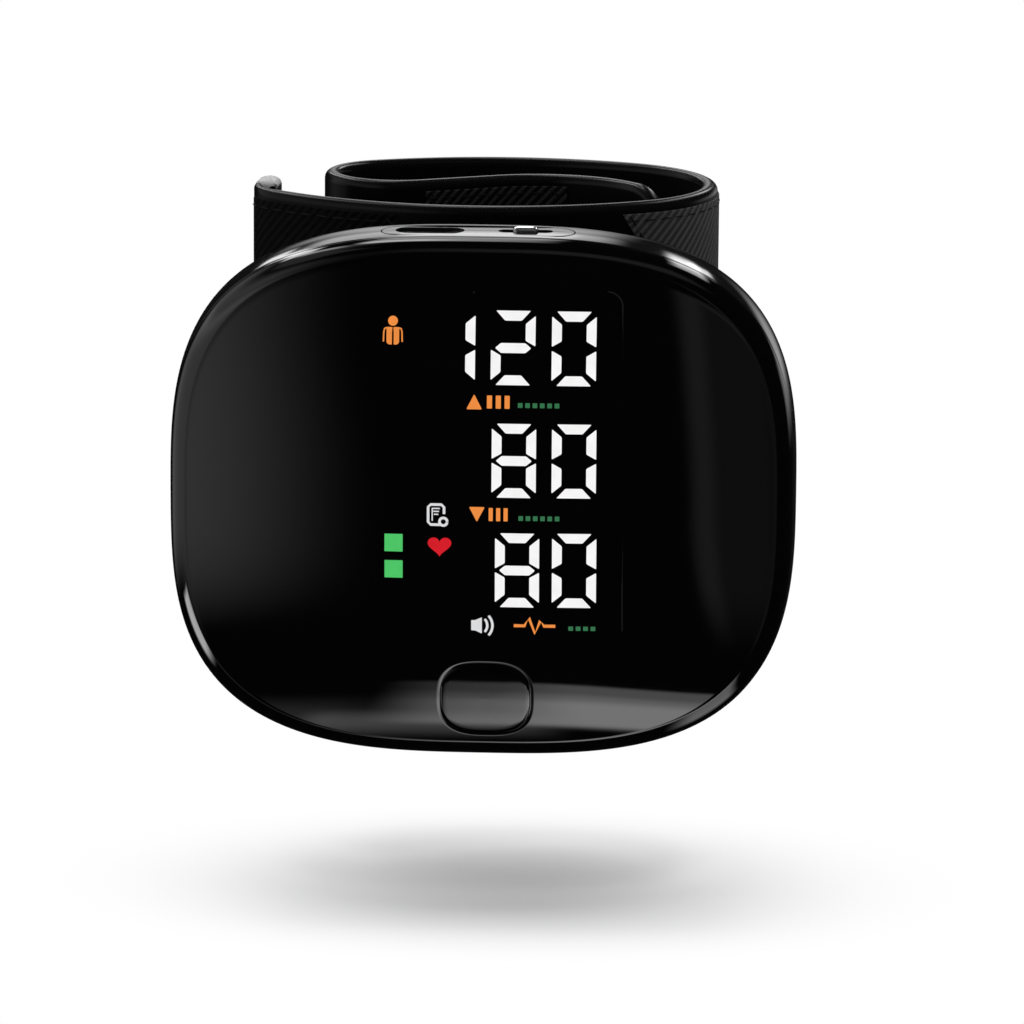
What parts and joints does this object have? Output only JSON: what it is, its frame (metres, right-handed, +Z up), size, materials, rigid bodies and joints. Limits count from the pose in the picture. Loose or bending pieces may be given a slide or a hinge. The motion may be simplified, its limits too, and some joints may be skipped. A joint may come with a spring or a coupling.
{
  "type": "wrist blood pressure monitor",
  "caption": "Wrist blood pressure monitor: domed glossy housing with a lit display and start button, on a springy curled cuff.",
  "frame": {"origin": "on the ground under the middle of the whole part", "axes": "+Z up, -Y the way the display looks, +X to the right as the display is read"},
  "size_m": [0.085, 0.0722, 0.0725],
  "materials": {
    "front_gloss": "polished black lens plastic",
    "case_gloss": "polished black",
    "satin_plastic": "satin black",
    "grey_plastic": "moulded grey",
    "bright_steel": "bright",
    "dark_steel": "blackened",
    "board": "solder mask over glass laminate",
    "reflector_white": "matt white",
    "cell_pouch": "laminated pouch",
    "clear_rubber": "soft clear",
    "band_skin": "smooth, glossy, coated fabric",
    "hatched_fabric": "diagonal hatched loop fabric",
    "curler_sheet": "springy sheet",
    "lining_fabric": "soft, matt"
  },
  "bodies": {
    "monitor": {"front_cover": "front_gloss", "rear_case": "case_gloss", "control_plate": "satin_plastic", "usb_shell": "bright_steel", "usb_tongue": "satin_plastic", "slide_switch_body": "grey_plastic", "case_screw_1": "dark_steel", "case_screw_2": "dark_steel", "case_screw_3": "dark_steel", "case_screw_4": "dark_steel", "main_board": "board", "tact_switch": "grey_plastic", "display_reflector": "reflector_white", "display_board": "board", "battery_cell": "cell_pouch", "battery_pad": "satin_plastic", "speaker_basket": "grey_plastic", "speaker_cone": "satin_plastic", "pressure_sensor": "grey_plastic", "pump_motor_can": "bright_steel", "pump_head": "satin_plastic", "pump_diaphragm": "clear_rubber", "valve_body": "bright_steel", "valve_spring": "bright_steel", "air_manifold": "grey_plastic", "hose_from_pump": "clear_rubber", "hose_to_valve": "clear_rubber", "hose_to_cuff": "clear_rubber", "saddle": "satin_plastic", "saddle_screw_1": "dark_steel", "saddle_screw_2": "dark_steel", "cuff_nipple": "grey_plastic", "cuff_hem_loop": "band_skin", "near_cover": "band_skin", "near_fabric": "hatched_fabric", "near_curler": "curler_sheet", "near_bladder": "clear_rubber", "near_lining": "lining_fabric"},
    "start_button": {"start_button": "front_gloss"},
    "voice_switch": {"slide_switch_knob": "bright_steel"},
    "pump_rotor": {"pump_rotor": "dark_steel"},
    "valve_plunger": {"valve_plunger": "dark_steel"},
    "cuff_wrap": {"wrap_cover": "band_skin", "wrap_fabric": "hatched_fabric", "wrap_curler": "curler_sheet", "wrap_bladder": "clear_rubber", "wrap_lining": "lining_fabric"},
    "cuff_tail": {"tail_cover": "band_skin", "tail_fabric": "hatched_fabric", "tail_curler": "curler_sheet", "tail_lining": "lining_fabric"}
  },
  "joints": [
    {"name": "start_button_press", "type": "slide", "parent": "monitor", "child": "start_button", "axis": [0, 1, 0], "range_m": [0, 0.00025], "stiffness_N_per_m": 1500},
    {"name": "voice_switch_slide", "type": "slide", "parent": "monitor", "child": "voice_switch", "axis": [1, 0, 0], "range_m": [-0.0018, 0.0018]},
    {"name": "cuff_wrap_hinge", "type": "hinge", "parent": "monitor", "child": "cuff_wrap", "pos_m": [0.03049, 0.01417, 0.036], "axis": [0, 0, -1], "range_deg": [0, 80], "stiffness_Nm_per_rad": 0.08},
    {"name": "cuff_tail_hinge", "type": "hinge", "parent": "cuff_wrap", "child": "cuff_tail", "pos_m": [-0.02538, 0.02184, 0.036], "axis": [0, 0, -1], "range_deg": [0, 100]},
    {"name": "valve_plunger_slide", "type": "slide", "parent": "monitor", "child": "valve_plunger", "axis": [0, 0, -1], "range_m": [0, 0.0008], "stiffness_N_per_m": 400, "deforming": ["valve_spring"]},
    {"name": "pump_shaft", "type": "hinge", "parent": "monitor", "child": "pump_rotor", "pos_m": [0.0195, -0.02112, 0.036], "axis": [0, 0, 1], "continuous": true}
  ],
  "couplings": [
    {"joint": "cuff_tail_hinge", "follows": "cuff_wrap_hinge", "ratio": 1.25}
  ]
}
